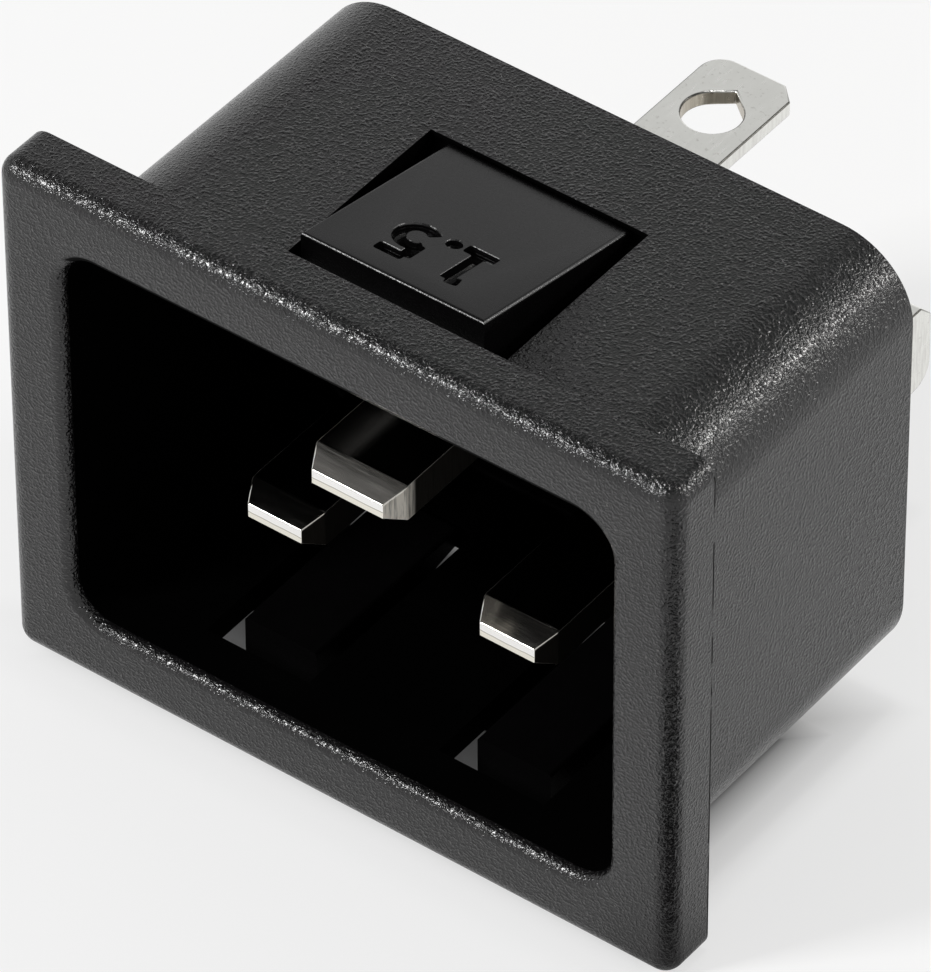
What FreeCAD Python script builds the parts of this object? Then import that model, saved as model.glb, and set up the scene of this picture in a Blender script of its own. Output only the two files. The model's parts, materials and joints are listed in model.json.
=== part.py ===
import FreeCAD, Part
import math
import os

V = FreeCAD.Vector

# Snap-in power inlet for a thin metal panel, in millimetres
# x runs to the right as seen from the front, y runs back through the panel, z runs up
# The origin is the centre of the panel cut-out, in the plane of the flange's back face

# Panel that the inlet snaps into
panel_thickness = 1.5
panel_play = 0.22

# Flange in front of the panel, standing out all round the body
flange_side_lip = 2.3
flange_top_lip = 2.25
flange_thickness = 2.8
flange_corner = 1.0
flange_front_round = 0.95

# Body behind the panel, slightly narrower towards the back
body_width = 32.6
body_height = 24.5
body_depth = 18.1
body_corner = 3.9
body_draft_degrees = 0.2

# Cavity that takes the connector
side_wall = 1.25
top_wall = 1.42
base_thickness = 2.1
cavity_corner = 2.0
mouth_round = 0.6
floor_round = 0.3

# Snap latches, one above and two below, that bend in at their roots
upper_latch_width = 10.0
lower_latch_width = 4.1
lower_latch_offset = 6.6
latch_length = 10.3
latch_rise = 1.83
latch_root_thickness = 1.2
upper_latch_gap = 0.97
lower_latch_gap = 0.9
latch_edge_round = 0.2
root_clearance = 0.08
window_lip = 0.35

# Blade pins, stamped and riveted to their terminals
pin_thickness = 2.0
power_pin_width = 4.1
power_pin_spacing = 13.0
power_pin_drop = 3.66
power_pin_recess = 4.13
earth_pin_width = 5.0
earth_pin_rise = 3.83
earth_pin_recess = 1.15
nose_length = 1.15
nose_narrowing = 0.53
nose_corner_length = 1.05
nose_thickness = 0.8
nose_edge_round = 0.06
shoulder_step = 0.8
shoulder_length = 1.0
pin_fit = 0.05

# Riveted tail of each pin
tenon_width = 2.4
rivet_lip = 0.5
rivet_height = 0.6
rivet_crown = 0.25

# Terminals, bent from strip
strip_width = 4.8
strip_thickness = 0.8
bend_radius = 0.6
earth_tab_rise = 3.58
power_tab_step = 3.3
earth_tab_reach = 10.9
power_tab_reach = 11.1
tab_round_corner = 1.2
tab_cut_corner = 0.85
tab_hole_radius = 1.45
tab_hole_point = 1.85
tab_hole_from_tip = 3.55
pocket_depth = 0.6
pocket_clearance = 0.15

# Places worked out from the sizes above
front_y = -flange_thickness
floor_y = body_depth - base_thickness
seat_y = body_depth - pocket_depth
flange_width = body_width + 2 * flange_side_lip
flange_height = body_height + 2 * flange_top_lip
cavity_width = body_width - 2 * side_wall
cavity_height = body_height - 2 * top_wall
draft = math.tan(math.radians(body_draft_degrees))
latch_front_y = panel_thickness + panel_play
hinge_y = latch_front_y + latch_length
root_radius = latch_root_thickness / 2
hinge_z = cavity_height / 2 + root_radius
latch_top_z = body_height / 2 + latch_rise
power_pin_x = power_pin_spacing / 2
overshoot = 1.0


def line(a, b):
    return Part.LineSegment(a, b).toShape()


def arc(a, middle, b):
    return Part.Arc(a, middle, b).toShape()


def on_circle(centre, radius, degrees):
    # A point on a circle in the y-z plane, measured from +y towards +z
    angle = math.radians(degrees)
    return centre + V(0, radius * math.cos(angle), radius * math.sin(angle))


def box(x0, x1, y0, y1, z0, z1):
    return Part.makeBox(x1 - x0, y1 - y0, z1 - z0, V(x0, y0, z0))


def centred_box(x, z, width, height, y0, y1):
    return box(x - width / 2, x + width / 2, y0, y1, z - height / 2, z + height / 2)


def rectangle(x, z, width, height, y):
    # A closed wire across the y axis
    half_w = width / 2
    half_h = height / 2
    corners = [V(x + sx * half_w, y, z + sz * half_h) for sx, sz in ((-1, -1), (1, -1), (1, 1), (-1, 1))]
    return Part.makePolygon(corners + corners[:1])


def rounded_rectangle(width, height, radius, y):
    # A closed wire across the y axis with four round corners
    radius = min(radius, 0.49 * width, 0.49 * height)
    inset = radius * (1 - math.sqrt(0.5))
    half_w = width / 2
    half_h = height / 2
    edges = []
    for turn, (sx, sz) in enumerate(((1, -1), (1, 1), (-1, 1), (-1, -1))):
        on_side = V(sx * half_w, y, sz * (half_h - radius))
        on_end = V(sx * (half_w - radius), y, sz * half_h)
        middle = V(sx * (half_w - inset), y, sz * (half_h - inset))
        first, last = (on_end, on_side) if turn % 2 == 0 else (on_side, on_end)
        if edges:
            edges.append(line(edges[-1].Vertexes[-1].Point, first))
        edges.append(arc(first, middle, last))
    edges.append(line(edges[-1].Vertexes[-1].Point, edges[0].Vertexes[0].Point))
    return Part.Wire(edges)


def prism(wire, direction):
    return Part.Face(wire).extrude(direction)


def placed(shape, x, y, z, degrees):
    # Turns a shape about the y axis, from +z towards +x, and moves it to its place
    copy = shape.copy()
    copy.rotate(V(0, 0, 0), V(0, 1, 0), degrees)
    copy.translate(V(x, y, z))
    return copy


def edges_at(shape, y, half_width=None, half_height=None):
    # The edges that lie in the plane y, within a window if one is given
    found = []
    for edge in shape.Edges:
        bounds = edge.BoundBox
        if abs(bounds.YMin - y) > 1e-4 or abs(bounds.YMax - y) > 1e-4:
            continue
        if half_width is not None:
            if bounds.XMax > half_width + 1e-4 or bounds.XMin < -half_width - 1e-4:
                continue
            if bounds.ZMax > half_height + 1e-4 or bounds.ZMin < -half_height - 1e-4:
                continue
        found.append(edge)
    return found


# Housing

def make_flange():
    outline = rounded_rectangle(flange_width, flange_height, flange_corner, front_y)
    slab = prism(outline, V(0, flange_thickness, 0))
    radius = min(flange_front_round, 0.95 * flange_corner, 0.9 * flange_thickness)
    return slab.makeFillet(radius, edges_at(slab, front_y))


def make_body():
    # The side walls start inside the flange, so that the two run into each other
    sections = []
    for y in (-flange_thickness / 2, body_depth):
        shrink = 2 * y * draft
        sections.append(rounded_rectangle(body_width - shrink, body_height - shrink, body_corner, y))
    return Part.makeLoft(sections, True, True)


def make_cavity():
    outline = rounded_rectangle(cavity_width, cavity_height, cavity_corner, front_y - overshoot)
    return prism(outline, V(0, floor_y - front_y + overshoot, 0))


def latch_window(x, width):
    # Cuts the upper wall from the flange back to a round seat for the latch's root
    left = x - width / 2
    axis = V(left, hinge_y, hinge_z)
    seat_radius = root_radius + root_clearance
    lip = min(window_lip, 0.6 * seat_radius)
    upper = math.degrees(math.acos(lip / seat_radius))
    lower = -45.0
    seat_start = on_circle(axis, seat_radius, upper)
    seat_middle = on_circle(axis, seat_radius, (upper + lower) / 2)
    seat_end = on_circle(axis, seat_radius, lower)
    above = body_height / 2 + overshoot
    below = cavity_height / 2 - overshoot
    corners = [V(left, 0, below), V(left, 0, above), V(left, seat_start.y, above), seat_start]
    edges = [line(a, b) for a, b in zip(corners, corners[1:])]
    edges.append(arc(seat_start, seat_middle, seat_end))
    foot = V(left, seat_end.y, below)
    edges.append(line(seat_end, foot))
    edges.append(line(foot, corners[0]))
    return prism(Part.Wire(edges), V(width, 0, 0))


def below(shape):
    # The same thing in the lower wall
    return shape.mirror(V(0, 0, 0), V(0, 0, 1))


def pocket_for_terminal(step):
    # The recess in the back that keeps a terminal's foot from turning, along +z from its rivet
    half = strip_width / 2 + pocket_clearance
    end = step + pocket_clearance
    edges = [
        arc(V(half, seat_y, 0), V(0, seat_y, -half), V(-half, seat_y, 0)),
        line(V(-half, seat_y, 0), V(-half, seat_y, end)),
        line(V(-half, seat_y, end), V(half, seat_y, end)),
        line(V(half, seat_y, end), V(half, seat_y, 0)),
    ]
    return prism(Part.Wire(edges), V(0, pocket_depth + overshoot, 0))


def pin_slot(x, z, width):
    slot_width = width + 2 * pin_fit
    slot_height = pin_thickness + 2 * pin_fit
    return centred_box(x, z, slot_width, slot_height, floor_y - overshoot / 2, body_depth + overshoot)


def make_housing():
    shape = make_flange().fuse(make_body()).cut(make_cavity())
    mouth = min(mouth_round, 0.9 * side_wall)
    shape = shape.makeFillet(mouth, edges_at(shape, front_y, cavity_width / 2, cavity_height / 2))
    shape = shape.makeFillet(floor_round, edges_at(shape, floor_y))
    lower_window_width = lower_latch_width + 2 * lower_latch_gap
    cuts = [latch_window(0, upper_latch_width + 2 * upper_latch_gap)]
    for side in (-1, 1):
        cuts.append(below(latch_window(side * lower_latch_offset, lower_window_width)))
        pocket = pocket_for_terminal(power_tab_step)
        cuts.append(placed(pocket, side * power_pin_x, 0, -power_pin_drop, side * 90))
        cuts.append(pin_slot(side * power_pin_x, -power_pin_drop, power_pin_width))
    cuts.append(placed(pocket_for_terminal(earth_tab_rise), 0, 0, earth_pin_rise, 0))
    cuts.append(pin_slot(0, earth_pin_rise, earth_pin_width))
    return shape.cut(cuts)


# Latches

def make_latch(x, width):
    # A wedge from its catch at the panel down to a round root in the wall
    left = x - width / 2
    axis = V(left, hinge_y, hinge_z)
    catch = V(left, latch_front_y, latch_top_z)
    toe = V(left, latch_front_y, cavity_height / 2)
    heel = on_circle(axis, root_radius, -90)
    reach = (axis - catch).Length
    slope = math.atan2(axis.z - catch.z, axis.y - catch.y) + math.asin(root_radius / reach)
    crest_degrees = math.degrees(slope) + 90
    crest = on_circle(axis, root_radius, crest_degrees)
    rear = on_circle(axis, root_radius, (crest_degrees - 90) / 2)
    edges = [line(toe, catch), line(catch, crest), arc(crest, rear, heel), line(heel, toe)]
    wedge = prism(Part.Wire(edges), V(width, 0, 0))
    radius = min(latch_edge_round, 0.4 * root_radius)
    outer_edges = [edge for edge in wedge.Edges if edge.BoundBox.ZMax > latch_top_z - 1e-4]
    outer_edges = [edge for edge in outer_edges if edge.BoundBox.ZMin > cavity_height / 2 + 1e-4]
    return wedge.makeFillet(radius, outer_edges)


# Pins

def pin_plan(x, z, width, tip_y):
    # Seen from above: a blade with both corners of its nose cut off
    half = width / 2
    nose_half = half - nose_narrowing
    corner_y = tip_y + nose_corner_length
    outline = [(-half, seat_y), (-half, corner_y), (-nose_half, tip_y)]
    outline += [(nose_half, tip_y), (half, corner_y), (half, seat_y)]
    corners = [V(x + dx, y, z) for dx, y in outline]
    return Part.makePolygon(corners + corners[:1])


def pin_side(x, z, tip_y):
    # Seen from the side: flat faces that slope to a blunt nose
    half = pin_thickness / 2
    blunt = nose_thickness / 2
    slope_y = tip_y + nose_length
    outline = [(seat_y, -half), (slope_y, -half), (tip_y, -blunt), (tip_y, blunt), (slope_y, half), (seat_y, half)]
    corners = [V(x, y, z + dz) for y, dz in outline]
    return Part.makePolygon(corners + corners[:1])


def make_blade(x, z, width, tip_y):
    # Blanked to its plan and coined to its side profile
    blank = prism(pin_plan(x, z - pin_thickness, width, tip_y), V(0, 0, 2 * pin_thickness))
    profile = prism(pin_side(x - width, z, tip_y), V(2 * width, 0, 0))
    blade = blank.common(profile).Solids[0]
    nose_edges = edges_at(blade, tip_y)
    return blade.makeFillet(min(nose_edge_round, 0.1 * nose_thickness), nose_edges)


def make_pin(x, z, width, tip_y):
    blade = make_blade(x, z, width, tip_y)
    shoulder_width = width + 2 * shoulder_step
    shoulder = centred_box(x, z, shoulder_width, pin_thickness, floor_y - shoulder_length, floor_y)
    head_y = seat_y + strip_thickness
    tenon = centred_box(x, z, tenon_width, pin_thickness, seat_y, head_y)
    head_width = tenon_width + 2 * rivet_lip
    head_height = pin_thickness + 2 * rivet_lip
    head = Part.makeLoft([
        rectangle(x, z, head_width, head_height, head_y),
        rectangle(x, z, head_width - 2 * rivet_crown, head_height - 2 * rivet_crown, head_y + rivet_height),
    ], True, True)
    return blade.fuse([shoulder, tenon, head]).removeSplitter()


# Terminals

def tab_outline(start_y, tip_y, z, round_side):
    # Flat outline of the tab, with one tip corner rounded and the other cut off
    half = strip_width / 2
    r = tab_round_corner
    inset = r * (1 - math.sqrt(0.5))
    c = tab_cut_corner
    s = round_side
    edges = [
        line(V(-s * half, start_y, z), V(s * half, start_y, z)),
        line(V(s * half, start_y, z), V(s * half, tip_y - r, z)),
        arc(V(s * half, tip_y - r, z), V(s * (half - inset), tip_y - inset, z), V(s * (half - r), tip_y, z)),
        line(V(s * (half - r), tip_y, z), V(-s * (half - c), tip_y, z)),
        line(V(-s * (half - c), tip_y, z), V(-s * half, tip_y - c, z)),
        line(V(-s * half, tip_y - c, z), V(-s * half, start_y, z)),
    ]
    return Part.Wire(edges)


def teardrop(centre_y, z):
    # Wire hole, round at the back and pointed towards the tip
    contact = math.asin(tab_hole_radius / tab_hole_point)
    touch_x = tab_hole_radius * math.cos(contact)
    touch_y = centre_y + tab_hole_radius * math.sin(contact)
    right = V(touch_x, touch_y, z)
    left = V(-touch_x, touch_y, z)
    point = V(0, centre_y + tab_hole_point, z)
    edges = [
        arc(right, V(0, centre_y - tab_hole_radius, z), left),
        line(left, point),
        line(point, right),
    ]
    return Part.Wire(edges)


def make_terminal(step, reach, round_side, hole_width, hole_height):
    # Rivet at the origin, foot flat against the seat at y = 0 and the tab running back at z = step
    outer = bend_radius + strip_thickness
    half = strip_width / 2
    bend_z = step - outer
    foot = prism(Part.Wire([
        arc(V(half, 0, 0), V(0, 0, -half), V(-half, 0, 0)),
        line(V(-half, 0, 0), V(-half, 0, bend_z)),
        line(V(-half, 0, bend_z), V(half, 0, bend_z)),
        line(V(half, 0, bend_z), V(half, 0, 0)),
    ]), V(0, strip_thickness, 0))
    hole = centred_box(0, 0, hole_width + 2 * pin_fit, hole_height + 2 * pin_fit, -overshoot, outer)
    centre = V(-half, outer, bend_z)
    bend = prism(Part.Wire([
        arc(on_circle(centre, outer, 180), on_circle(centre, outer, 135), on_circle(centre, outer, 90)),
        line(on_circle(centre, outer, 90), on_circle(centre, bend_radius, 90)),
        arc(on_circle(centre, bend_radius, 90), on_circle(centre, bend_radius, 135),
            on_circle(centre, bend_radius, 180)),
        line(on_circle(centre, bend_radius, 180), on_circle(centre, outer, 180)),
    ]), V(strip_width, 0, 0))
    tip_y = reach + pocket_depth
    low_z = step - strip_thickness
    tab = prism(tab_outline(outer, tip_y, low_z, round_side), V(0, 0, strip_thickness))
    opening = prism(teardrop(tip_y - tab_hole_from_tip, low_z - overshoot), V(0, 0, 2 * overshoot + step))
    return foot.cut(hole).fuse([bend, tab.cut(opening)]).removeSplitter()


def make_earth_terminal():
    terminal = make_terminal(earth_tab_rise, earth_tab_reach, -1, tenon_width, pin_thickness)
    return placed(terminal, 0, seat_y, earth_pin_rise, 0)


def make_power_terminal(side):
    # Lies on its side, so the hole for the flat tenon is turned the other way
    terminal = make_terminal(power_tab_step, power_tab_reach, 1, pin_thickness, tenon_width)
    return placed(terminal, side * power_pin_x, seat_y, -power_pin_drop, side * 90)


def make_parts():
    power_tip_y = front_y + power_pin_recess
    earth_tip_y = front_y + earth_pin_recess
    parts = {
        "housing": make_housing(),
        "upper_latch": make_latch(0, upper_latch_width),
        "earth_pin": make_pin(0, earth_pin_rise, earth_pin_width, earth_tip_y),
        "earth_terminal": make_earth_terminal(),
    }
    for name, side in (("left", -1), ("right", 1)):
        x = side * power_pin_x
        parts["lower_latch_" + name] = below(make_latch(side * lower_latch_offset, lower_latch_width))
        parts[name + "_power_pin"] = make_pin(x, -power_pin_drop, power_pin_width, power_tip_y)
        parts[name + "_power_terminal"] = make_power_terminal(side)
    return parts


os.makedirs("parts", exist_ok=True)
for node, shape in make_parts().items():
    solid = shape.Solids[0]
    if len(shape.Solids) != 1 or not solid.isValid():
        raise SystemExit(node + " is not one valid solid")
    solid.exportStep("parts/" + node + ".step")
    size = solid.BoundBox
    print(node, round(solid.Volume, 2), [round(v, 2) for v in (
        size.XMin, size.XMax, size.YMin, size.YMax, size.ZMin, size.ZMax)])
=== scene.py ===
import json
import math

import bmesh
import bpy
from mathutils import Matrix, Vector


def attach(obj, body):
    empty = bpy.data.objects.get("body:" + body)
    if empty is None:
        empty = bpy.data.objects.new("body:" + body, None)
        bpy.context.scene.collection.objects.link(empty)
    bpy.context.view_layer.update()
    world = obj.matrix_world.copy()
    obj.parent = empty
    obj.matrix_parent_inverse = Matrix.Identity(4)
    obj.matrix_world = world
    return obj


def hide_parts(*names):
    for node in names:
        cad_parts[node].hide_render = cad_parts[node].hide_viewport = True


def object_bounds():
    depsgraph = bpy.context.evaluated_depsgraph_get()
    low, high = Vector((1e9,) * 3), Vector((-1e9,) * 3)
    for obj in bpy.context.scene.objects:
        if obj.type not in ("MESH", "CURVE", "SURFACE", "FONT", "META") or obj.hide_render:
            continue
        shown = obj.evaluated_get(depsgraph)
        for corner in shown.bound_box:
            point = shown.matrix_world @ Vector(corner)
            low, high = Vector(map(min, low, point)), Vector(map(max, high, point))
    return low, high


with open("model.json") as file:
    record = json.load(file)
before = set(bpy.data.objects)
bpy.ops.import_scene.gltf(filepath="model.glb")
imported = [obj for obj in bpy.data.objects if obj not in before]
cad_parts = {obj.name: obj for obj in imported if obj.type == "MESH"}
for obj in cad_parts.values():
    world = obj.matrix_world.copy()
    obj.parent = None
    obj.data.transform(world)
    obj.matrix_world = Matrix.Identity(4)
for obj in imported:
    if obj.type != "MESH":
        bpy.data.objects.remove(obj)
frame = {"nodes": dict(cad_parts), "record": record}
cad_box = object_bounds()

# Lengths and reliefs are written in millimetres and turned into metres where they are used.
# Tones are linear colours, rates are counted per metre, and a span is the range that becomes 0 to 1
MM = 0.001

# Camera, in the photograph's frame of 931 by 972 pixels
VIEW_AZIMUTH = 37.244
VIEW_ELEVATION = 42.213
VIEW_ROLL = -0.281
VIEW_DISTANCE = 441.88
LOOK_RIGHT = 4.174
LOOK_UP = 2.311
FOCAL_PIXELS = 10012.7
FRAME_HEIGHT = 972
SENSOR = 36.0
NEAREST = 0.01
FURTHEST = 10.0

# The middle range of a noise, and the share of a streak's rate at which its slow patches lie
MIDDLE = (0.3, 0.7)
PATCH_RATE = 0.06

# Parts of a split direction or place
ACROSS, BACK, UP = 0, 1, 2

# Paper floor: its glow for the eye, and the shade that the body keeps beneath itself
FLOOR_SIZE = 1400.0
FLOOR_DROP = 0.02
PAPER_TONES = ((0.92, 0.92, 0.92, 1), (0.94, 0.94, 0.94, 1))
PAPER_ROUGHNESS = 0.9
PAPER_RATE = 60.0
PAPER_WHITE = 0.6
PAPER_GLOW = 0.97
SHADE = ((0.0, 7.6, -14.5), (15.0, 8.5, 12.0))
SHADE_SOFTNESS = 5.0
SHADE_SHARE = 0.93
DEEP_SHADE = ((0.0, 9.0, -14.5), (14.0, 4.6, 12.0))
DEEP_SOFTNESS = 2.0

# Dark patch painted on the floor and seen in reflections alone, a painted dark reflection
REFLECTED_SHADE = ((31.0, -12.0, -14.5), (14.0, 12.0, 12.0))
REFLECTED_SHADE_SOFTNESS = 8.0
# Tone of the painted dark patches: this one and the deep shade under the body
PAINTED_SHADE_TONE = (0.01, 0.01, 0.01, 1)

# Sky: its plain light, and the walls and ceiling that reflections see between these heights
SKY_LIGHT = 0.37
HORIZON = 1.0
WALLS = 0.71
CEILING = 0.10
WALL_SPAN = (0.08, 0.32)
CEILING_SPAN = (0.69, 0.82)

# Softboxes: name, direction, size, watts and colour
LAMP_DISTANCE = 420
LAMP_TARGET = (0, 0.008, 0)
SOFTBOXES = (
    ("left_front_softbox", (-0.45, -0.64, 0.56), 88, 1.15, (1, 1, 1)),
    ("right_back_softbox", (0.65, 0.59, 0.43), 95, 0.66, (1, 0.985, 0.96)),
    ("top_softbox", (0.05, 0.05, 1.0), 30, 0.17, (1, 1, 1)),
)

# Edge rounding of the real parts, and the fold in degrees from which a corner is eased
MOULDED_EDGE = 0.07
STAMPED_EDGE = 0.09
COINED_EDGE = 0.05
MOULDED_FOLD = 32.0
STAMPED_FOLD = 20.0
SAME_POINT = 0.0005
SAME_PLANE = 0.4
LEFT_SHARP_MARGIN = 0.25

# Housing plastic: black, with a spark-eroded skin
PLASTIC_IOR = 1.46
SKIN_RATE = 6500.0
SKIN_GRIT = 0.28
SKIN_RELIEF = 0.044
DOME_SPAN = (0.46, 0.84)
GRIT_SPAN = (0.40, 0.84)
GRIT_RATE = 2.1
CLOUD_RATE = 0.05
# Painted glints: pale specks in the colour, their chance and their core
GLINT_CHANCE = (0.80, 1.0)
GLINT_CORE = (0.45, 0.15)
HOUSING_TONES = ((0.0040, 0.0038, 0.0040, 1), (0.0080, 0.0076, 0.0080, 1))
# Tone and share of the painted glints
GLINT_TONE = (0.12, 0.118, 0.112, 1)
GLINT_SHARE = 0.5
HOUSING_ROUGHNESS = (0.15, 0.21)
HOUSING_SPECULAR = 0.54
# Painted shade in the hollows: a darker colour, a rougher skin with faint relief, and little reflection
HOLLOW_SHADE_TONE = (0.0008, 0.0008, 0.0008, 1)
HOLLOW_ROUGHNESS = 0.5
HOLLOW_RELIEF = 0.05
SHADED_SPECULAR = 0.02

# Latch plastic: smooth black, with painted shade on its ends, its sides and in the numerals' grooves
LATCH_RATE = 9000.0
LATCH_GRIT = 0.9
LATCH_RELIEF = 0.003
LATCH_TONES = ((0.0016, 0.0015, 0.0016, 1), (0.0030, 0.0028, 0.0030, 1))
LATCH_ROUGHNESS = (0.24, 0.30)
LATCH_SPECULAR = 0.34
# Painted highlight: more reflection on the latch's edge roundings
RIM_HIGHLIGHT_SPECULAR = 1.0
SIDE_SPAN = (0.88, 0.94)
RIM_HIGHLIGHT_SPAN = (0.25, 0.45)
# Depth span and share of the painted shade in the numerals' grooves
GROOVE_SPAN = (-0.04, -0.10)
GROOVE_SHARE = 0.85

# Pins: nickel over a blanked blade
EARTH_PIN_HEIGHT = 3.83
POWER_PIN_HEIGHT = -3.66
NOSE_THICKNESS = 0.8
# Painted shade on the flanks deeper in the cavity: where it starts, its length, its share and its tone
FLANK_SHADE_FROM = -0.25
FLANK_SHADE_LENGTH = 0.3
FLANK_SHADE_SHARE = 0.985
FLANK_SHADE_TONE = (0.010, 0.009, 0.008, 1)
FLANK_SPAN = (0.55, 0.75)
NOSE_SPAN = (0.85, 0.95)
FLAT_SPAN = (0.95, 0.99)
TORN_SPAN = (-0.10, -0.22)
CREASE_SPAN = (0.02, 0.10)
RIB_SPAN = (0.45, 0.65)
POLISH_RATE = 12000.0
POLISH_STRETCH = (0.04, 1.0, 1.0)
RIB_RATE = 8000.0
RIB_STRETCH = (1.0, 1.0, 0.07)
NICKEL_TONES = ((0.60, 0.57, 0.52, 1), (0.74, 0.72, 0.68, 1))
NOSE_TONE = (0.95, 0.94, 0.92, 1)
TORN_TONE = (0.86, 0.83, 0.74, 1)
CREASE_TONE = (0.48, 0.45, 0.38, 1)
CREASE_AT = 0.14
# Painted shade: the flat faces are darkened to stand for the dark cavity they reflect
FLAT_SHADE_TONE = (0.055, 0.053, 0.049, 1)
FLAT_ROUGHNESS = 0.15
NOSE_ROUGHNESS = 0.12
FLANK_ROUGHNESS = 0.45
FLANK_METAL = 0.3
FLANK_SPECULAR = 0.1
RIB_SHARE = 0.4
POLISH_RELIEF = 0.06
PIN_RELIEF = 0.012
# Flank tones: the earth pin's painted lit, the power pins' painted in shade
EARTH_LIT_FLANK_TONE = (0.86, 0.82, 0.74, 1)
POWER_SHADED_FLANK_TONE = (0.20, 0.19, 0.17, 1)
EARTH_DULLNESS = 0.20
LEFT_DULLNESS = 0.08
RIGHT_DULLNESS = 0.13

# Tin of the terminals: bright rolled strip with sheared edges and painted shade on its edge roundings,
# and the hole of the earth tab with striated walls under painted shade
EARTH_HOLE = ((0.0, 25.6, 7.4), (1.6, 1.8, 0.8))
ROLLING_RATE = 5000.0
ROLLING_STRETCH = (1.0, 0.15, 1.0)
SHEAR_RATE = 6000.0
SHEAR_STRETCH = (1.0, 1.0, 0.12)
SPECK_RATE = 4200.0
SPECK_SPAN = (0.62, 0.72)
SPECK_SHARE = 0.5
SHEARED_SPAN = (0.35, 0.15)
SHEAR_LINES = (0.42, 0.66)
HOLE_SPAN = (0.6, 0.3)
# Span of the painted shade on the edge roundings
EDGE_SHADE_SPAN = (0.22, 0.40)
TIN_TONES = ((0.86, 0.86, 0.82, 1), (0.96, 0.96, 0.92, 1))
SPECK_TONE = (0.60, 0.59, 0.55, 1)
SHEARED_TONE = (0.78, 0.77, 0.74, 1)
# Striated walls of the earth tab's hole, darkened with painted shade
HOLE_SHADE_TONES = ((0.70, 0.66, 0.58, 1), (0.30, 0.26, 0.20, 1))
# Tone of the painted shade on the edge roundings
EDGE_SHADE_TONE = (0.07, 0.068, 0.062, 1)
TIN_ROUGHNESS = (0.26, 0.36)
TIN_RELIEF = 0.003

# Hollows of the housing: centre and half size of the cavity, the windows and the seats at their ends
CAVITY = ((0.0, 7.7, 0.0), (15.12, 9.9, 10.9))
WINDOWS = (
    ((0.0, 6.18, 11.6), (5.99, 6.23, 0.84)),
    ((-6.6, 6.18, -11.6), (2.97, 6.23, 0.84)),
    ((6.6, 6.18, -11.6), (2.97, 6.23, 0.84)),
)
SEATS = (
    ((0.0, 12.5, 11.45), (5.99, 0.35, 0.7)),
    ((-6.6, 12.5, -11.45), (2.97, 0.35, 0.7)),
    ((6.6, 12.5, -11.45), (2.97, 0.35, 0.7)),
)
HOLLOW_EDGE = 0.03

# The underside of the mouth's upper lip, which looks down into the shade
UPPER_LIP = ((0.0, -2.4, 11.6), (15.6, 0.5, 1.1))
LIP_SPAN = (-0.10, -0.30)

# Line that the two mould halves leave along the flange's back edge
PARTING_LINE_FROM = 18.57
PARTING_LINE_AT = -0.07
PARTING_LINE_WIDTH = 0.06
PARTING_LINE_CORE = 0.4
PARTING_LINE_FADE = 0.02
BREAK_RATE = 420.0
BREAK_SPAN = (0.36, 0.44)

# Numerals sunk into the upper latch
STROKE = 0.33
CUTTER_LAYERS = ((-0.27, 0.45), (0.0, 0.33), (0.14, 0.31), (0.28, 0.28))
DOT = (2.2, 0.42)
DOT_PROFILE = ((-0.30, 0.50), (-0.04, 0.46), (0.05, 0.39), (0.30, 0.36), (0.45, 0.20))
NUMERAL_RIGHT = 2.48
NUMERAL_FOOT = 6.26
CUTTER_GRAIN = 0.022
CUTTER_ROUNDNESS = 4
END_TAPER = ((0.0, 0.7), (0.04, 0.9), (0.10, 1.0))
BOWL_CENTRE = (3.72, 1.13)
BOWL_RADII = (0.80, 0.82)
BOWL_FROM = 145
BOWL_STEP = 19
BOWL_POINTS = 16
NUMERALS = ((0.1, 4.8, 13.2), (3.2, 2.3, 1.2))

HOUSING = "housing"
UPPER_LATCH = "upper_latch"
LOWER_LATCHES = ("lower_latch_left", "lower_latch_right")
PINS = ("earth_pin", "left_power_pin", "right_power_pin")
TERMINALS = ("earth_terminal", "left_power_terminal", "right_power_terminal")


# Shader node helpers

def add_node(tree, kind, **settings):
    node = tree.nodes.new(kind)
    for name, value in settings.items():
        setattr(node, name, value)
    return node


def feed(tree, socket, value):
    # Links a socket, or writes a plain value into it
    if isinstance(value, bpy.types.NodeSocket):
        tree.links.new(value, socket)
    else:
        socket.default_value = value


def calculate(tree, operation, *values, clamp=False):
    node = add_node(tree, "ShaderNodeMath", operation=operation, use_clamp=clamp)
    for socket, value in zip(node.inputs, values):
        feed(tree, socket, value)
    return node.outputs[0]


def times(tree, first, second, clamp=False):
    return calculate(tree, "MULTIPLY", first, second, clamp=clamp)


def plus(tree, first, second, clamp=False):
    return calculate(tree, "ADD", first, second, clamp=clamp)


def minus(tree, first, second, clamp=False):
    return calculate(tree, "SUBTRACT", first, second, clamp=clamp)


def largest(tree, first, *others):
    # Of several masks, this is on wherever any of them is
    for other in others:
        first = calculate(tree, "MAXIMUM", other, first)
    return first


def magnitude(tree, value):
    return calculate(tree, "ABSOLUTE", value)


def stretch(tree, value, low, high, new_low=0.0, new_high=1.0):
    node = add_node(tree, "ShaderNodeMapRange")
    for name, part in (("Value", value), ("From Min", low), ("From Max", high),
                       ("To Min", new_low), ("To Max", new_high)):
        feed(tree, node.inputs[name], part)
    return node.outputs[0]


def mix_colour(tree, share, first, second):
    node = add_node(tree, "ShaderNodeMix", data_type="RGBA")
    feed(tree, node.inputs[0], share)
    feed(tree, node.inputs[6], first)
    feed(tree, node.inputs[7], second)
    return node.outputs[2]


def mix_value(tree, share, first, second):
    node = add_node(tree, "ShaderNodeMix", data_type="FLOAT")
    feed(tree, node.inputs[0], share)
    feed(tree, node.inputs[2], first)
    feed(tree, node.inputs[3], second)
    return node.outputs[0]


def split_vector(tree, vector):
    node = add_node(tree, "ShaderNodeSeparateXYZ")
    feed(tree, node.inputs[0], vector)
    return node.outputs


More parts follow.
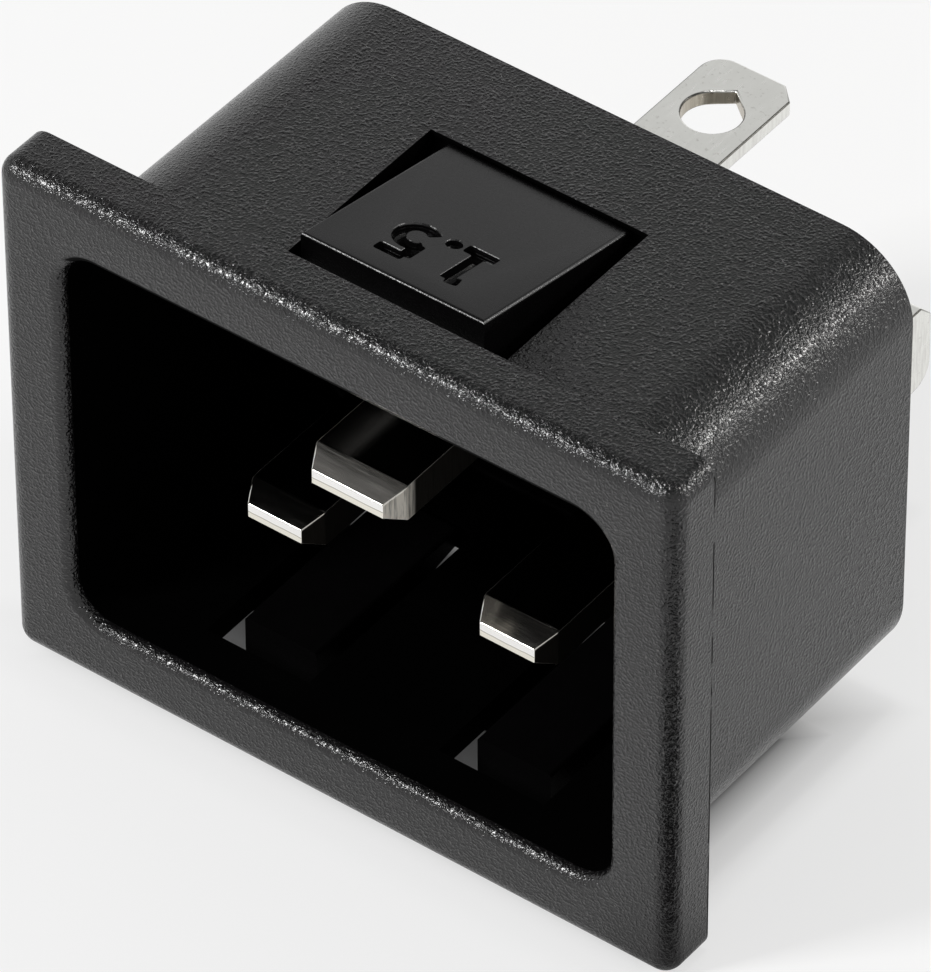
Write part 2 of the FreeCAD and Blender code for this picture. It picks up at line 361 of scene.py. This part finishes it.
def own_normal(tree):
    # Across, back and up parts of the piece's own normal
    return split_vector(tree, add_node(tree, "ShaderNodeTexCoord").outputs["Normal"])


def noise(tree, where, scale, detail=2.0, roughness=0.5):
    node = add_node(tree, "ShaderNodeTexNoise")
    feed(tree, node.inputs["Vector"], where)
    feed(tree, node.inputs["Scale"], scale)
    node.inputs["Detail"].default_value = detail
    node.inputs["Roughness"].default_value = roughness
    return node.outputs["Fac"]


def new_group(name, inputs, outputs):
    group = bpy.data.node_groups.new(name, "ShaderNodeTree")
    for label, kind, default in inputs:
        socket = group.interface.new_socket(label, in_out="INPUT", socket_type=kind)
        if default is not None:
            socket.default_value = default
    for label, kind in outputs:
        group.interface.new_socket(label, in_out="OUTPUT", socket_type=kind)
    return group, group.nodes.new("NodeGroupInput"), group.nodes.new("NodeGroupOutput")


FLOAT = "NodeSocketFloat"
VECTOR = "NodeSocketVector"


def make_grain_group():
    # Spark-eroded mould skin: small uneven domes, a finer grit, stray pale specks that are painted
    # glints, and slow clouds
    group, given, out = new_group(
        "spark_eroded_grain",
        [("Place", VECTOR, None), ("Domes per metre", FLOAT, 7000.0), ("Grit share", FLOAT, 0.3)],
        [("Height", FLOAT), ("Glints", FLOAT), ("Cloud", FLOAT)],
    )
    place = given.outputs["Place"]
    rate = given.outputs["Domes per metre"]
    cells = add_node(group, "ShaderNodeTexVoronoi", feature="F1")
    feed(group, cells.inputs["Vector"], place)
    feed(group, cells.inputs["Scale"], rate)
    pick = add_node(group, "ShaderNodeSeparateColor")
    feed(group, pick.inputs[0], cells.outputs["Color"])
    domes = stretch(group, noise(group, place, rate, detail=0.0), *DOME_SPAN)
    fine_rate = times(group, rate, GRIT_RATE)
    grit = stretch(group, noise(group, place, fine_rate, detail=0.0), *GRIT_SPAN)
    height = mix_value(group, given.outputs["Grit share"], domes, grit)
    lucky = stretch(group, pick.outputs[0], *GLINT_CHANCE)
    core = stretch(group, cells.outputs["Distance"], *GLINT_CORE)
    feed(group, out.inputs["Height"], height)
    feed(group, out.inputs["Glints"], times(group, lucky, core, clamp=True))
    feed(group, out.inputs["Cloud"], noise(group, place, times(group, rate, CLOUD_RATE), detail=4.0))
    return group


def make_streak_group():
    # Fine lines drawn out along one direction, as rolling, blanking and polishing leave them
    group, given, out = new_group(
        "drawn_streaks",
        [("Place", VECTOR, None), ("Stretch", VECTOR, (1.0, 1.0, 1.0)),
         ("Lines per metre", FLOAT, 9000.0)],
        [("Lines", FLOAT), ("Patches", FLOAT)],
    )
    place = given.outputs["Place"]
    rate = given.outputs["Lines per metre"]
    scaled = add_node(group, "ShaderNodeVectorMath", operation="MULTIPLY")
    feed(group, scaled.inputs[0], place)
    feed(group, scaled.inputs[1], given.outputs["Stretch"])
    lines = noise(group, scaled.outputs[0], rate, detail=3.0, roughness=0.6)
    feed(group, out.inputs["Lines"], lines)
    feed(group, out.inputs["Patches"], noise(group, place, times(group, rate, PATCH_RATE), detail=3.0))
    return group


def make_block_group():
    # 1 inside a block about a centre, fading to 0 over a soft edge
    group, given, out = new_group(
        "block_mask",
        [("Place", VECTOR, None), ("Centre", VECTOR, None), ("Half size", VECTOR, (0.01, 0.01, 0.01)),
         ("Soft edge", FLOAT, 0.0002)],
        [("Mask", FLOAT)],
    )
    moved = add_node(group, "ShaderNodeVectorMath", operation="SUBTRACT")
    feed(group, moved.inputs[0], given.outputs["Place"])
    feed(group, moved.inputs[1], given.outputs["Centre"])
    away = add_node(group, "ShaderNodeVectorMath", operation="ABSOLUTE")
    feed(group, away.inputs[0], moved.outputs[0])
    past = add_node(group, "ShaderNodeVectorMath", operation="SUBTRACT")
    feed(group, past.inputs[0], away.outputs[0])
    feed(group, past.inputs[1], given.outputs["Half size"])
    furthest = largest(group, *split_vector(group, past.outputs[0]))
    faded = calculate(group, "DIVIDE", furthest, given.outputs["Soft edge"])
    feed(group, out.inputs["Mask"], minus(group, 0.5, faded, clamp=True))
    return group


GRAIN = make_grain_group()
STREAKS = make_streak_group()
BLOCK = make_block_group()


def use_group(tree, group, **values):
    node = add_node(tree, "ShaderNodeGroup", node_tree=group)
    for name, value in values.items():
        feed(tree, node.inputs[name.replace("_", " ")], value)
    return node.outputs


def new_material(name):
    material = bpy.data.materials.new(name)
    material.use_nodes = True
    tree = material.node_tree
    tree.nodes.clear()
    surface = add_node(tree, "ShaderNodeBsdfPrincipled")
    out = add_node(tree, "ShaderNodeOutputMaterial")
    tree.links.new(surface.outputs[0], out.inputs[0])
    place = add_node(tree, "ShaderNodeTexCoord").outputs["Object"]
    return material, tree, surface, place


def raise_surface(tree, surface, height, depth):
    bump = add_node(tree, "ShaderNodeBump")
    bump.inputs["Distance"].default_value = depth * MM
    feed(tree, bump.inputs["Height"], height)
    feed(tree, surface.inputs["Normal"], bump.outputs[0])


# Materials

def block_part(tree, place, block, soft_edge=HOLLOW_EDGE):
    centre, half_size = block
    return use_group(tree, BLOCK, Place=place, Centre=[c * MM for c in centre],
                     Half_size=[c * MM for c in half_size], Soft_edge=soft_edge * MM)["Mask"]


def hollow_shade_mask(tree, place):
    # Painted shade: the cavity, the latch windows and the seats at their ends
    return largest(tree, *(block_part(tree, place, block) for block in (CAVITY, *WINDOWS, *SEATS)))


def parting_line(tree, place):
    # A thin broken line on both ends of the flange
    spot = split_vector(tree, place)
    away = magnitude(tree, minus(tree, spot[BACK], PARTING_LINE_AT * MM))
    width = PARTING_LINE_WIDTH * MM
    line = stretch(tree, away, width, PARTING_LINE_CORE * width)
    ends = stretch(tree, magnitude(tree, spot[ACROSS]), (PARTING_LINE_FROM - PARTING_LINE_FADE) * MM,
                   PARTING_LINE_FROM * MM)
    broken = stretch(tree, noise(tree, place, BREAK_RATE, detail=3.0), *BREAK_SPAN)
    return times(tree, times(tree, line, ends), broken)


def housing_plastic():
    material, tree, surface, place = new_material("housing_plastic")
    grain = use_group(tree, GRAIN, Place=place, Domes_per_metre=SKIN_RATE, Grit_share=SKIN_GRIT)
    facing_down = stretch(tree, own_normal(tree)[UP], *LIP_SPAN)
    under_lip = times(tree, facing_down, block_part(tree, place, UPPER_LIP))
    # Painted shade in the hollows and under the upper lip, together with the parting line's own dark
    # mark
    dark = largest(tree, hollow_shade_mask(tree, place), under_lip, parting_line(tree, place))
    tone = mix_colour(tree, grain["Cloud"], *HOUSING_TONES)
    # Pale specks painted in as glints
    tone = mix_colour(tree, times(tree, grain["Glints"], GLINT_SHARE), tone, GLINT_TONE)
    feed(tree, surface.inputs["Base Color"], mix_colour(tree, dark, tone, HOLLOW_SHADE_TONE))
    rough = mix_value(tree, grain["Cloud"], *HOUSING_ROUGHNESS)
    feed(tree, surface.inputs["Roughness"], mix_value(tree, dark, rough, HOLLOW_ROUGHNESS))
    surface.inputs["IOR"].default_value = PLASTIC_IOR
    specular = mix_value(tree, dark, HOUSING_SPECULAR, SHADED_SPECULAR)
    feed(tree, surface.inputs["Specular IOR Level"], specular)
    faint = times(tree, grain["Height"], HOLLOW_RELIEF)
    raise_surface(tree, surface, mix_value(tree, dark, grain["Height"], faint), SKIN_RELIEF)
    return material


def groove_shade_mask(tree, place, top):
    # Painted shade in what lies below the sloping top, where the numerals are
    point, normal = top
    offset = add_node(tree, "ShaderNodeVectorMath", operation="SUBTRACT")
    feed(tree, offset.inputs[0], place)
    offset.inputs[1].default_value = point
    rise = add_node(tree, "ShaderNodeVectorMath", operation="DOT_PRODUCT")
    feed(tree, rise.inputs[0], offset.outputs[0])
    rise.inputs[1].default_value = normal
    shallow, deep = (height * MM for height in GROOVE_SPAN)
    below = stretch(tree, rise.outputs["Value"], shallow, deep, 0.0, GROOVE_SHARE)
    return times(tree, below, block_part(tree, place, NUMERALS))


def latch_plastic(top):
    material, tree, surface, place = new_material("latch_plastic")
    grain = use_group(tree, GRAIN, Place=place, Domes_per_metre=LATCH_RATE, Grit_share=LATCH_GRIT)
    feed(tree, surface.inputs["Base Color"], mix_colour(tree, grain["Cloud"], *LATCH_TONES))
    rough = stretch(tree, grain["Height"], *MIDDLE, *LATCH_ROUGHNESS)
    feed(tree, surface.inputs["Roughness"], rough)
    surface.inputs["IOR"].default_value = PLASTIC_IOR
    facing = own_normal(tree)
    side = magnitude(tree, facing[ACROSS])
    front = times(tree, facing[BACK], -1.0)
    # Painted shade on the sides and the ends, as less reflection
    upright = stretch(tree, largest(tree, side, front), *SIDE_SPAN)
    shaded = largest(tree, block_part(tree, place, CAVITY), upright, groove_shade_mask(tree, place, top))
    # Painted highlight: the edge roundings reflect more, for a brighter line
    rim_highlight = times(tree, stretch(tree, side, *RIM_HIGHLIGHT_SPAN), stretch(tree, side, *reversed(SIDE_SPAN)))
    gloss = mix_value(tree, rim_highlight, LATCH_SPECULAR, RIM_HIGHLIGHT_SPECULAR)
    feed(tree, surface.inputs["Specular IOR Level"], mix_value(tree, shaded, gloss, SHADED_SPECULAR))
    raise_surface(tree, surface, grain["Height"], LATCH_RELIEF)
    return material


def nose_marks(tree, nose, place, wander, centre_height):
    # The sheared lower part of the nose and the crease above it
    half = 0.5 * NOSE_THICKNESS * MM
    above = minus(tree, split_vector(tree, place)[UP], centre_height * MM)
    level = plus(tree, calculate(tree, "DIVIDE", above, half), wander)
    torn = times(tree, nose, stretch(tree, level, *TORN_SPAN))
    beside = magnitude(tree, plus(tree, level, CREASE_AT))
    crease = times(tree, nose, minus(tree, 1.0, stretch(tree, beside, *CREASE_SPAN)))
    return torn, crease


def pin_nickel(name, centre_height, dullness, flank_tone):
    # Polished faces, torn and ribbed flanks, a sheared nose in two tones; the flat faces and the flanks
    # deeper in carry painted shade, and the earth flank is painted lit
    material, tree, surface, place = new_material(name)
    facing = own_normal(tree)
    flank = stretch(tree, magnitude(tree, facing[ACROSS]), *FLANK_SPAN)
    nose = stretch(tree, times(tree, facing[BACK], -1.0), *NOSE_SPAN)
    level_face = stretch(tree, magnitude(tree, facing[UP]), *FLAT_SPAN)
    polish = use_group(tree, STREAKS, Place=place, Stretch=POLISH_STRETCH, Lines_per_metre=POLISH_RATE)
    ribs = use_group(tree, STREAKS, Place=place, Stretch=RIB_STRETCH, Lines_per_metre=RIB_RATE)
    wander = stretch(tree, polish["Patches"], *MIDDLE, -0.08, 0.08)
    torn, crease = nose_marks(tree, nose, place, wander, centre_height)
    dark_ribs = times(tree, flank, stretch(tree, ribs["Lines"], *RIB_SPAN))
    rib_tone = [RIB_SHARE * part for part in flank_tone[:3]] + [1]
    # Flat faces painted nearly black, a painted dark reflection of the cavity
    flat = times(tree, level_face, stretch(tree, polish["Patches"], 0.2, 0.5, 1.0, 0.85))
    # Painted shade on the flanks, deeper in the cavity, with no reflection
    flank_shade = times(tree, flank, stretch(
        tree, split_vector(tree, place)[BACK], FLANK_SHADE_FROM * MM, (FLANK_SHADE_FROM + FLANK_SHADE_LENGTH) * MM,
        0.0, FLANK_SHADE_SHARE))
    tone = mix_colour(tree, polish["Patches"], *NICKEL_TONES)
    for share, colour in (
            (nose, NOSE_TONE), (torn, TORN_TONE), (crease, CREASE_TONE), (flank, flank_tone),
            (dark_ribs, rib_tone), (flat, FLAT_SHADE_TONE), (flank_shade, FLANK_SHADE_TONE)):
        tone = mix_colour(tree, share, tone, colour)
    feed(tree, surface.inputs["Base Color"], tone)
    feed(tree, surface.inputs["Metallic"], mix_value(tree, flank, 1.0, FLANK_METAL))
    rough = stretch(tree, polish["Lines"], *MIDDLE, 0.7 * dullness, 1.2 * dullness)
    for share, roughness in ((flat, FLAT_ROUGHNESS), (nose, NOSE_ROUGHNESS), (flank, FLANK_ROUGHNESS)):
        rough = mix_value(tree, share, rough, roughness)
    feed(tree, surface.inputs["Roughness"], rough)
    specular = mix_value(tree, flank_shade, mix_value(tree, flank, 0.5, FLANK_SPECULAR), 0.0)
    feed(tree, surface.inputs["Specular IOR Level"], specular)
    fine = times(tree, polish["Lines"], POLISH_RELIEF)
    raise_surface(tree, surface, mix_value(tree, flank, fine, ribs["Lines"]), PIN_RELIEF)
    return material


def terminal_tin():
    material, tree, surface, place = new_material("terminal_tin")
    facing = own_normal(tree)
    level = magnitude(tree, facing[UP])
    rolling = use_group(
        tree, STREAKS, Place=place, Stretch=ROLLING_STRETCH, Lines_per_metre=ROLLING_RATE)
    shear = use_group(tree, STREAKS, Place=place, Stretch=SHEAR_STRETCH, Lines_per_metre=SHEAR_RATE)
    specks = stretch(
        tree, noise(tree, place, SPECK_RATE, detail=2.0), *SPECK_SPAN, 0.0, SPECK_SHARE)
    sheared = times(
        tree, stretch(tree, level, *SHEARED_SPAN), stretch(tree, shear["Lines"], *SHEAR_LINES))
    # Painted shade in the earth tab's hole, over its striated walls
    hole_shade = times(tree, stretch(tree, level, *HOLE_SPAN), block_part(tree, place, EARTH_HOLE))
    hole_shade_tone = mix_colour(tree, shear["Lines"], *HOLE_SHADE_TONES)
    # Painted shade on the edge roundings
    edge_shade = stretch(tree, times(tree, level, magnitude(tree, facing[ACROSS])), *EDGE_SHADE_SPAN)
    tone = mix_colour(tree, rolling["Patches"], *TIN_TONES)
    for share, colour in (
            (specks, SPECK_TONE), (sheared, SHEARED_TONE), (hole_shade, hole_shade_tone), (edge_shade, EDGE_SHADE_TONE)):
        tone = mix_colour(tree, share, tone, colour)
    feed(tree, surface.inputs["Base Color"], tone)
    surface.inputs["Metallic"].default_value = 1.0
    feed(tree, surface.inputs["Roughness"], stretch(tree, rolling["Lines"], *MIDDLE, *TIN_ROUGHNESS))
    raise_surface(tree, surface, rolling["Lines"], TIN_RELIEF)
    return material


# Pieces

def show(mesh_object, material):
    mesh_object.data.materials.clear()
    mesh_object.data.materials.append(material)
    for polygon in mesh_object.data.polygons:
        polygon.material_index = 0


def body_of(node):
    for body, members in frame["record"]["behaviour"]["bodies"].items():
        if node in members:
            return body
    raise KeyError(node)


def in_block(point, block, margin):
    centre, half_size = block
    reach = [half + margin for half in half_size]
    return all(abs(part / MM - middle) < far for part, middle, far in zip(point, centre, reach))


def mark_sharp_edges(work, fold, left_sharp):
    # Every corner sharper than a soft fold is eased, apart from those in the given blocks
    weight = work.edges.layers.float.new("bevel_weight_edge")
    for edge in work.edges:
        if len(edge.link_faces) != 2 or edge.calc_face_angle(0.0) < math.radians(fold):
            continue
        middle = (edge.verts[0].co + edge.verts[1].co) / 2
        if not any(in_block(middle, block, LEFT_SHARP_MARGIN) for block in left_sharp):
            edge[weight] = 1.0


def finished_copy(node, edge_width, fold, segments=3, left_sharp=(), broad=True):
    # The solid as it comes from its mould or press: the same shape with its sharp edges eased
    mesh = frame["nodes"][node].data.copy()
    piece = bpy.data.objects.new(node + "_finished", mesh)
    bpy.context.scene.collection.objects.link(piece)
    work = bmesh.new()
    work.from_mesh(mesh)
    bmesh.ops.remove_doubles(work, verts=work.verts, dist=SAME_POINT * MM)
    bmesh.ops.dissolve_limit(
        work, angle_limit=math.radians(SAME_PLANE), verts=work.verts, edges=work.edges, delimit=set())
    mark_sharp_edges(work, fold, left_sharp)
    for edge in work.edges:
        edge.smooth = edge.calc_face_angle(0.0) < math.radians(fold)
    work.to_mesh(mesh)
    work.free()
    for polygon in mesh.polygons:
        polygon.use_smooth = True
    if edge_width:
        bevel = piece.modifiers.new("eased edges", "BEVEL")
        bevel.width = edge_width * MM
        bevel.segments = segments
        bevel.limit_method = "WEIGHT"
        bevel.use_clamp_overlap = True
        bevel.harden_normals = not broad
    if broad:
        level = piece.modifiers.new("flat faces stay flat", "WEIGHTED_NORMAL")
        level.mode = "FACE_AREA"
        level.weight = 100
        level.keep_sharp = True
    return piece


def apply_modifiers(piece):
    graph = bpy.context.evaluated_depsgraph_get()
    mesh = bpy.data.meshes.new_from_object(piece.evaluated_get(graph))
    piece.modifiers.clear()
    piece.data = mesh
    return piece


def place_piece(piece, node, material):
    show(piece, material)
    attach(piece, body_of(node))
    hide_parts(node)


# Numerals of the upper latch, read from behind with their tops towards the flange

def bowl():
    # The round of the five, an ellipse drawn clockwise from its neck to its hook
    turns = [math.radians(BOWL_FROM - BOWL_STEP * step) for step in range(BOWL_POINTS)]
    return [(BOWL_CENTRE[0] + BOWL_RADII[0] * math.cos(turn),
             BOWL_CENTRE[1] + BOWL_RADII[1] * math.sin(turn)) for turn in turns]


def numeral_strokes():
    # Each stroke is a line of points: across to the reader's right, and up from the foot
    one = [
        [(0.0, 0.27), (1.65, 0.27)],
        [(0.81, 0.27), (0.81, 3.0)],
        [(0.81, 2.96), (0.14, 2.82)],
    ]
    five = [
        [(4.61, 2.9), (3.11, 2.9)],
        [(3.19, 2.9), (3.19, 1.60)],
        bowl(),
    ]
    return one + five


def eased_ends(stroke):
    # The same line with each end drawn in, so the cut ends with soft corners
    line = [(Vector(point), 1.0) for point in stroke]
    for end, inner in ((0, 1), (-1, -2)):
        tip = line[end][0]
        inward = (line[inner][0] - tip).normalized()
        softened = [(tip + inward * length, width) for length, width in END_TAPER]
        line = softened + line[1:] if end == 0 else line[:-1] + softened[::-1]
    return line


def add_stroke(curve, stroke, top, depth, radius):
    spline = curve.splines.new("POLY")
    line = eased_ends(stroke)
    spline.points.add(len(line) - 1)
    for point, (place, width) in zip(spline.points, line):
        point.co = (*(numeral_point(place.x, place.y, top) - depth * MM * top[1]), 1)
        point.radius = width * radius / STROKE


def sloping_top(mesh):
    # A point and the normal of the latch's sloping top, its largest face that leans back
    leaning = [p for p in mesh.polygons if p.normal.z > 0.9 and p.normal.y > 0.1]
    face = max(leaning, key=lambda p: p.area)
    return Vector(face.center), Vector(face.normal)


def on_slope(x, y, top):
    point, normal = top
    drop = (normal.x * (x - point.x) + normal.y * (y - point.y)) / normal.z
    return Vector((x, y, point.z - drop))


def numeral_point(across, up, top):
    # Across runs to the reader's right, which is -X, and up runs up the slope to the flange
    start = on_slope((NUMERAL_RIGHT - across) * MM, NUMERAL_FOOT * MM, top)
    uphill = Vector((0, -top[1].z, top[1].y)).normalized()
    return start + uphill * up * MM


def make_cutter(top):
    curve = bpy.data.curves.new("numeral_strokes", "CURVE")
    curve.dimensions = "3D"
    curve.bevel_depth = STROKE * MM
    curve.bevel_resolution = CUTTER_ROUNDNESS
    curve.use_fill_caps = True
    for stroke in numeral_strokes():
        for depth, radius in CUTTER_LAYERS:
            add_stroke(curve, stroke, top, depth, radius)
    spot = curve.splines.new("POLY")
    spot.points.add(len(DOT_PROFILE) - 1)
    for point, (depth, radius) in zip(spot.points, DOT_PROFILE):
        point.co = (*(numeral_point(*DOT, top) - depth * MM * top[1]), 1)
        point.radius = radius / STROKE
    cutter = bpy.data.objects.new("numeral_cutter", curve)
    bpy.context.scene.collection.objects.link(cutter)
    mesh = bpy.data.meshes.new_from_object(cutter.evaluated_get(bpy.context.evaluated_depsgraph_get()))
    bpy.data.objects.remove(cutter)
    cutter = bpy.data.objects.new("numeral_cutter", mesh)
    bpy.context.scene.collection.objects.link(cutter)
    blend = cutter.modifiers.new("one body", "REMESH")
    blend.mode = "VOXEL"
    blend.voxel_size = CUTTER_GRAIN * MM
    return apply_modifiers(cutter)


def make_upper_latch(material):
    piece = apply_modifiers(finished_copy(UPPER_LATCH, 0, MOULDED_FOLD))
    cutter = make_cutter(sloping_top(frame["nodes"][UPPER_LATCH].data))
    cut = piece.modifiers.new("numerals", "BOOLEAN")
    cut.operation = "DIFFERENCE"
    cut.solver = "EXACT"
    cut.object = cutter
    apply_modifiers(piece)
    bpy.data.objects.remove(cutter)
    place_piece(piece, UPPER_LATCH, material)


# Studio

def aim(thing, target):
    direction = Vector(target) - thing.location
    thing.rotation_euler = direction.to_track_quat("-Z", "Y").to_euler()


def make_softbox(name, direction, size, watts, colour):
    lamp = bpy.data.lights.new(name, "AREA")
    lamp.shape = "SQUARE"
    lamp.size = size * MM
    lamp.energy = watts
    lamp.color = colour
    holder = bpy.data.objects.new(name, lamp)
    holder.location = Vector(direction).normalized() * LAMP_DISTANCE * MM
    bpy.context.scene.collection.objects.link(holder)
    aim(holder, LAMP_TARGET)


def make_one_sided(tree, surface):
    # The paper hides nothing from below, so the underside can be looked at
    blend = add_node(tree, "ShaderNodeMixShader")
    tree.links.new(add_node(tree, "ShaderNodeNewGeometry").outputs["Backfacing"], blend.inputs[0])
    tree.links.new(surface.outputs[0], blend.inputs[1])
    tree.links.new(add_node(tree, "ShaderNodeBsdfTransparent").outputs[0], blend.inputs[2])
    out = next(node for node in tree.nodes if node.type == "OUTPUT_MATERIAL")
    tree.links.new(blend.outputs[0], out.inputs[0])


def paper_material():
    material, tree, surface, place = new_material("studio_paper")
    path = add_node(tree, "ShaderNodeLightPath").outputs
    mirrored = path["Is Glossy Ray"]
    reflected_shade = times(tree, block_part(tree, place, REFLECTED_SHADE, REFLECTED_SHADE_SOFTNESS), mirrored)
    # Painted dark patches: the reflection-only one and the deep shade beneath the body
    dark = largest(tree, reflected_shade, block_part(tree, place, DEEP_SHADE, DEEP_SOFTNESS))
    # Painted shadow: the floor's glow drops beneath the body
    beneath = times(tree, block_part(tree, place, SHADE, SHADE_SOFTNESS), SHADE_SHARE)
    bent = plus(tree, mirrored, path["Is Transmission Ray"])
    seen = plus(tree, path["Is Camera Ray"], bent, clamp=True)
    glow = times(tree, times(tree, seen, PAPER_WHITE), minus(tree, 1.0, largest(tree, dark, beneath)))
    tone = mix_colour(tree, noise(tree, place, PAPER_RATE), *PAPER_TONES)
    tone = mix_colour(tree, glow, tone, (0, 0, 0, 1))
    feed(tree, surface.inputs["Base Color"], mix_colour(tree, dark, tone, PAINTED_SHADE_TONE))
    surface.inputs["Emission Color"].default_value = (1, 1, 1, 1)
    feed(tree, surface.inputs["Emission Strength"], times(tree, glow, PAPER_GLOW))
    surface.inputs["Roughness"].default_value = PAPER_ROUGHNESS
    surface.inputs["Specular IOR Level"].default_value = 0.0
    make_one_sided(tree, surface)
    return material


def make_floor():
    mesh = bpy.data.meshes.new("floor")
    half = FLOOR_SIZE / 2 * MM
    low = cad_box[0][2] - FLOOR_DROP * MM
    corners = [(-half, -half, low), (half, -half, low), (half, half, low), (-half, half, low)]
    mesh.from_pydata(corners, [], [(0, 1, 2, 3)])
    mesh.materials.append(paper_material())
    floor = bpy.data.objects.new("floor", mesh)
    bpy.context.scene.collection.objects.link(floor)


def make_sky():
    # White all round for the eye and for soft light; reflections see grey walls and a dark ceiling
    world = bpy.data.worlds.new("studio")
    bpy.context.scene.world = world
    world.use_nodes = True
    tree = world.node_tree
    tree.nodes.clear()
    path = add_node(tree, "ShaderNodeLightPath").outputs
    look = split_vector(tree, add_node(tree, "ShaderNodeTexCoord").outputs["Generated"])
    lower = stretch(tree, look[UP], *WALL_SPAN, HORIZON, WALLS)
    upper = stretch(tree, look[UP], *CEILING_SPAN, 1.0, CEILING / WALLS)
    mirrored = plus(tree, path["Is Glossy Ray"], path["Is Transmission Ray"], clamp=True)
    strength = mix_value(tree, mirrored, SKY_LIGHT, times(tree, lower, upper))
    strength = mix_value(tree, path["Is Camera Ray"], strength, 1.0)
    sky = add_node(tree, "ShaderNodeBackground")
    sky.inputs[0].default_value = (1, 1, 1, 1)
    feed(tree, sky.inputs[1], strength)
    out = add_node(tree, "ShaderNodeOutputWorld")
    tree.links.new(sky.outputs[0], out.inputs[0])


def make_camera():
    azimuth = math.radians(VIEW_AZIMUTH)
    elevation = math.radians(VIEW_ELEVATION)
    roll = math.radians(VIEW_ROLL)
    towards = Vector((
        math.sin(azimuth) * math.cos(elevation),
        -math.cos(azimuth) * math.cos(elevation),
        math.sin(elevation)))
    level_right = (-towards).cross(Vector((0, 0, 1))).normalized()
    level_up = level_right.cross(-towards)
    right = level_right * math.cos(roll) + level_up * math.sin(roll)
    up = level_up * math.cos(roll) - level_right * math.sin(roll)
    lens = bpy.data.cameras.new("camera")
    lens.sensor_width = SENSOR
    lens.lens = FOCAL_PIXELS / FRAME_HEIGHT * SENSOR
    lens.clip_start = NEAREST
    lens.clip_end = FURTHEST
    camera = bpy.data.objects.new("camera", lens)
    bpy.context.scene.collection.objects.link(camera)
    place = (towards * VIEW_DISTANCE + right * LOOK_RIGHT + up * LOOK_UP) * MM
    turn = Matrix((right, up, towards)).transposed().to_4x4()
    camera.matrix_world = Matrix.Translation(place) @ turn
    bpy.context.scene.camera = camera


def make_lights():
    for softbox in SOFTBOXES:
        make_softbox(*softbox)


def make_product():
    housing = housing_plastic()
    latch = latch_plastic(sloping_top(frame["nodes"][UPPER_LATCH].data))
    nickel = {
        "earth_pin": pin_nickel(
            "earth_nickel", EARTH_PIN_HEIGHT, EARTH_DULLNESS, EARTH_LIT_FLANK_TONE),
        "left_power_pin": pin_nickel(
            "left_nickel", POWER_PIN_HEIGHT, LEFT_DULLNESS, POWER_SHADED_FLANK_TONE),
        "right_power_pin": pin_nickel(
            "right_nickel", POWER_PIN_HEIGHT, RIGHT_DULLNESS, POWER_SHADED_FLANK_TONE),
    }
    tin = terminal_tin()
    shell = finished_copy(HOUSING, MOULDED_EDGE, MOULDED_FOLD, left_sharp=WINDOWS, broad=False)
    place_piece(apply_modifiers(shell), HOUSING, housing)
    make_upper_latch(latch)
    for node in LOWER_LATCHES:
        place_piece(apply_modifiers(finished_copy(node, 0, MOULDED_FOLD)), node, latch)
    for node in PINS:
        blade = finished_copy(node, COINED_EDGE, STAMPED_FOLD, segments=2)
        place_piece(apply_modifiers(blade), node, nickel[node])
    for node in TERMINALS:
        place_piece(apply_modifiers(finished_copy(node, STAMPED_EDGE, STAMPED_FOLD)), node, tin)


make_product()
make_floor()
make_sky()
make_lights()
make_camera()
bpy.context.scene.view_settings.view_transform = "Standard"
